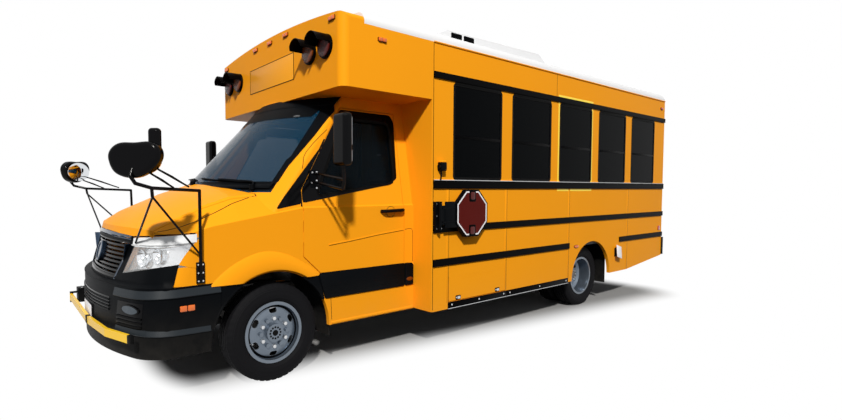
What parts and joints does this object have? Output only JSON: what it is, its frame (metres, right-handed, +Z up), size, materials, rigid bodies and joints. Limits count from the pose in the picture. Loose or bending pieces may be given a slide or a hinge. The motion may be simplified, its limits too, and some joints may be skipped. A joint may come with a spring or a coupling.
{
  "type": "small battery-electric school bus",
  "caption": "Small electric school bus: a van cab with a wide passenger body, twin rear wheels, folding stop arm and crossing arm, roof air conditioner.",
  "frame": {"origin": "on the ground, under the middle of the bounding box", "axes": "+X forward along the vehicle, +Y to its left, +Z up"},
  "size_m": [7.6955, 2.91, 3.1749],
  "materials": {
    "body_yellow": "gloss",
    "roof_white": "gloss",
    "chassis_black": "satin",
    "battery_grey": "satin",
    "dark_glass": "tinted",
    "lamp_clear": "clear",
    "lamp_amber": "gloss",
    "lamp_red": "gloss",
    "black_plastic": "matte",
    "rail_black": "satin",
    "stop_red": "gloss",
    "arm_yellow": "gloss",
    "interior_grey": "matte",
    "seat_vinyl": "matte",
    "cast_grey": "rough",
    "wheel_silver": "satin",
    "tyre": "matte"
  },
  "bodies": {
    "vehicle": {"frame_rails": "chassis_black", "cross_members": "chassis_black", "body_sills": "chassis_black", "battery_pack": "battery_grey", "front_axle": "chassis_black", "rear_axle": "chassis_black", "cab_shell": "body_yellow", "front_fenders": "body_yellow", "windshield": "dark_glass", "headlamps": "lamp_clear", "grille": "black_plastic", "front_bumper": "black_plastic", "cab_floor": "interior_grey", "cross_view_mirrors": "black_plastic", "body_side_left": "body_yellow", "body_side_right": "body_yellow", "body_glass": "dark_glass", "body_roof": "roof_white", "rear_wall": "body_yellow", "body_floor": "interior_grey", "roof_cap": "body_yellow", "rub_rails": "rail_black", "rear_bumper": "rail_black", "roof_unit": "roof_white", "arm_brackets": "black_plastic", "warning_lamps": "lamp_amber", "marker_lamps": "lamp_red", "wheel_liners": "black_plastic", "dashboard": "interior_grey", "seats": "seat_vinyl"},
    "knuckle_left": {"knuckle_left": "cast_grey"},
    "knuckle_right": {"knuckle_right": "cast_grey"},
    "front_wheel_left": {"front_rim_left": "wheel_silver", "front_tyre_left": "tyre"},
    "front_wheel_right": {"front_rim_right": "wheel_silver", "front_tyre_right": "tyre"},
    "rear_wheels_left": {"rear_rims_left": "wheel_silver", "rear_tyres_left": "tyre"},
    "rear_wheels_right": {"rear_rims_right": "wheel_silver", "rear_tyres_right": "tyre"},
    "cab_door_left": {"cab_door_left": "body_yellow", "cab_door_glass_left": "dark_glass", "door_mirror_left": "black_plastic"},
    "cab_door_right": {"cab_door_right": "body_yellow", "cab_door_glass_right": "dark_glass", "door_mirror_right": "black_plastic"},
    "hood": {"hood": "body_yellow"},
    "rear_door": {"rear_door": "body_yellow", "rear_door_glass": "dark_glass"},
    "entrance_front": {"entrance_leaf_front": "rail_black", "entrance_glass_front": "dark_glass"},
    "entrance_rear": {"entrance_leaf_rear": "rail_black", "entrance_glass_rear": "dark_glass"},
    "side_hatch": {"side_hatch": "body_yellow"},
    "stop_arm": {"stop_arm": "stop_red"},
    "crossing_arm": {"crossing_arm": "arm_yellow"},
    "steering_wheel": {"steering_wheel": "black_plastic"}
  },
  "joints": [
    {"name": "steer_left", "type": "hinge", "parent": "vehicle", "child": "knuckle_left", "pos_m": [2.625, 0.672, 0.384], "axis": [0, 0, 1], "range_deg": [-32, 32]},
    {"name": "steer_right", "type": "hinge", "parent": "vehicle", "child": "knuckle_right", "pos_m": [2.625, -0.672, 0.384], "axis": [0, 0, 1], "range_deg": [-32, 32]},
    {"name": "front_wheel_left_spin", "type": "hinge", "parent": "knuckle_left", "child": "front_wheel_left", "pos_m": [2.625, 0.843, 0.384], "axis": [0, 1, 0], "continuous": true},
    {"name": "front_wheel_right_spin", "type": "hinge", "parent": "knuckle_right", "child": "front_wheel_right", "pos_m": [2.625, -0.843, 0.384], "axis": [0, 1, 0], "continuous": true},
    {"name": "rear_wheels_left_spin", "type": "hinge", "parent": "vehicle", "child": "rear_wheels_left", "pos_m": [-1.675, 0.858, 0.384], "axis": [0, 1, 0], "continuous": true},
    {"name": "rear_wheels_right_spin", "type": "hinge", "parent": "vehicle", "child": "rear_wheels_right", "pos_m": [-1.675, -0.858, 0.384], "axis": [0, 1, 0], "continuous": true},
    {"name": "cab_door_left_hinge", "type": "hinge", "parent": "vehicle", "child": "cab_door_left", "pos_m": [2.384, 0.985, 1.2], "axis": [0, 0, -1], "range_deg": [0, 70]},
    {"name": "cab_door_right_hinge", "type": "hinge", "parent": "vehicle", "child": "cab_door_right", "pos_m": [2.384, -0.985, 1.2], "axis": [0, 0, 1], "range_deg": [0, 70]},
    {"name": "hood_hinge", "type": "hinge", "parent": "vehicle", "child": "hood", "pos_m": [2.585, 0, 1.54], "axis": [0, -1, 0], "range_deg": [0, 48]},
    {"name": "rear_door_hinge", "type": "hinge", "parent": "vehicle", "child": "rear_door", "pos_m": [-3.736, -0.424, 1.6], "axis": [0, 0, 1], "range_deg": [0, 110]},
    {"name": "entrance_front_hinge", "type": "hinge", "parent": "vehicle", "child": "entrance_front", "pos_m": [1.059, -1.219, 1.4], "axis": [0, 0, 1], "range_deg": [0, 85]},
    {"name": "entrance_rear_hinge", "type": "hinge", "parent": "vehicle", "child": "entrance_rear", "pos_m": [0.191, -1.219, 1.4], "axis": [0, 0, -1], "range_deg": [0, 85]},
    {"name": "side_hatch_hinge", "type": "hinge", "parent": "vehicle", "child": "side_hatch", "pos_m": [0.525, 1.219, 0.672], "axis": [1, 0, 0], "range_deg": [0, 80]},
    {"name": "stop_arm_hinge", "type": "hinge", "parent": "vehicle", "child": "stop_arm", "pos_m": [1.145, 1.28, 1.26], "axis": [0, 0, -1], "range_deg": [0, 90]},
    {"name": "crossing_arm_hinge", "type": "hinge", "parent": "vehicle", "child": "crossing_arm", "pos_m": [3.785, -0.83, 0.5175], "axis": [0, 0, -1], "range_deg": [0, 90]},
    {"name": "steering_wheel_turn", "type": "hinge", "parent": "vehicle", "child": "steering_wheel", "pos_m": [1.985, 0.43, 1.35], "axis": [-0.866, 0, 0.5], "range_deg": [-480, 480]}
  ],
  "couplings": [
    {"joint": "steer_right", "follows": "steer_left", "ratio": 1},
    {"joint": "steering_wheel_turn", "follows": "steer_left", "ratio": 15}
  ]
}
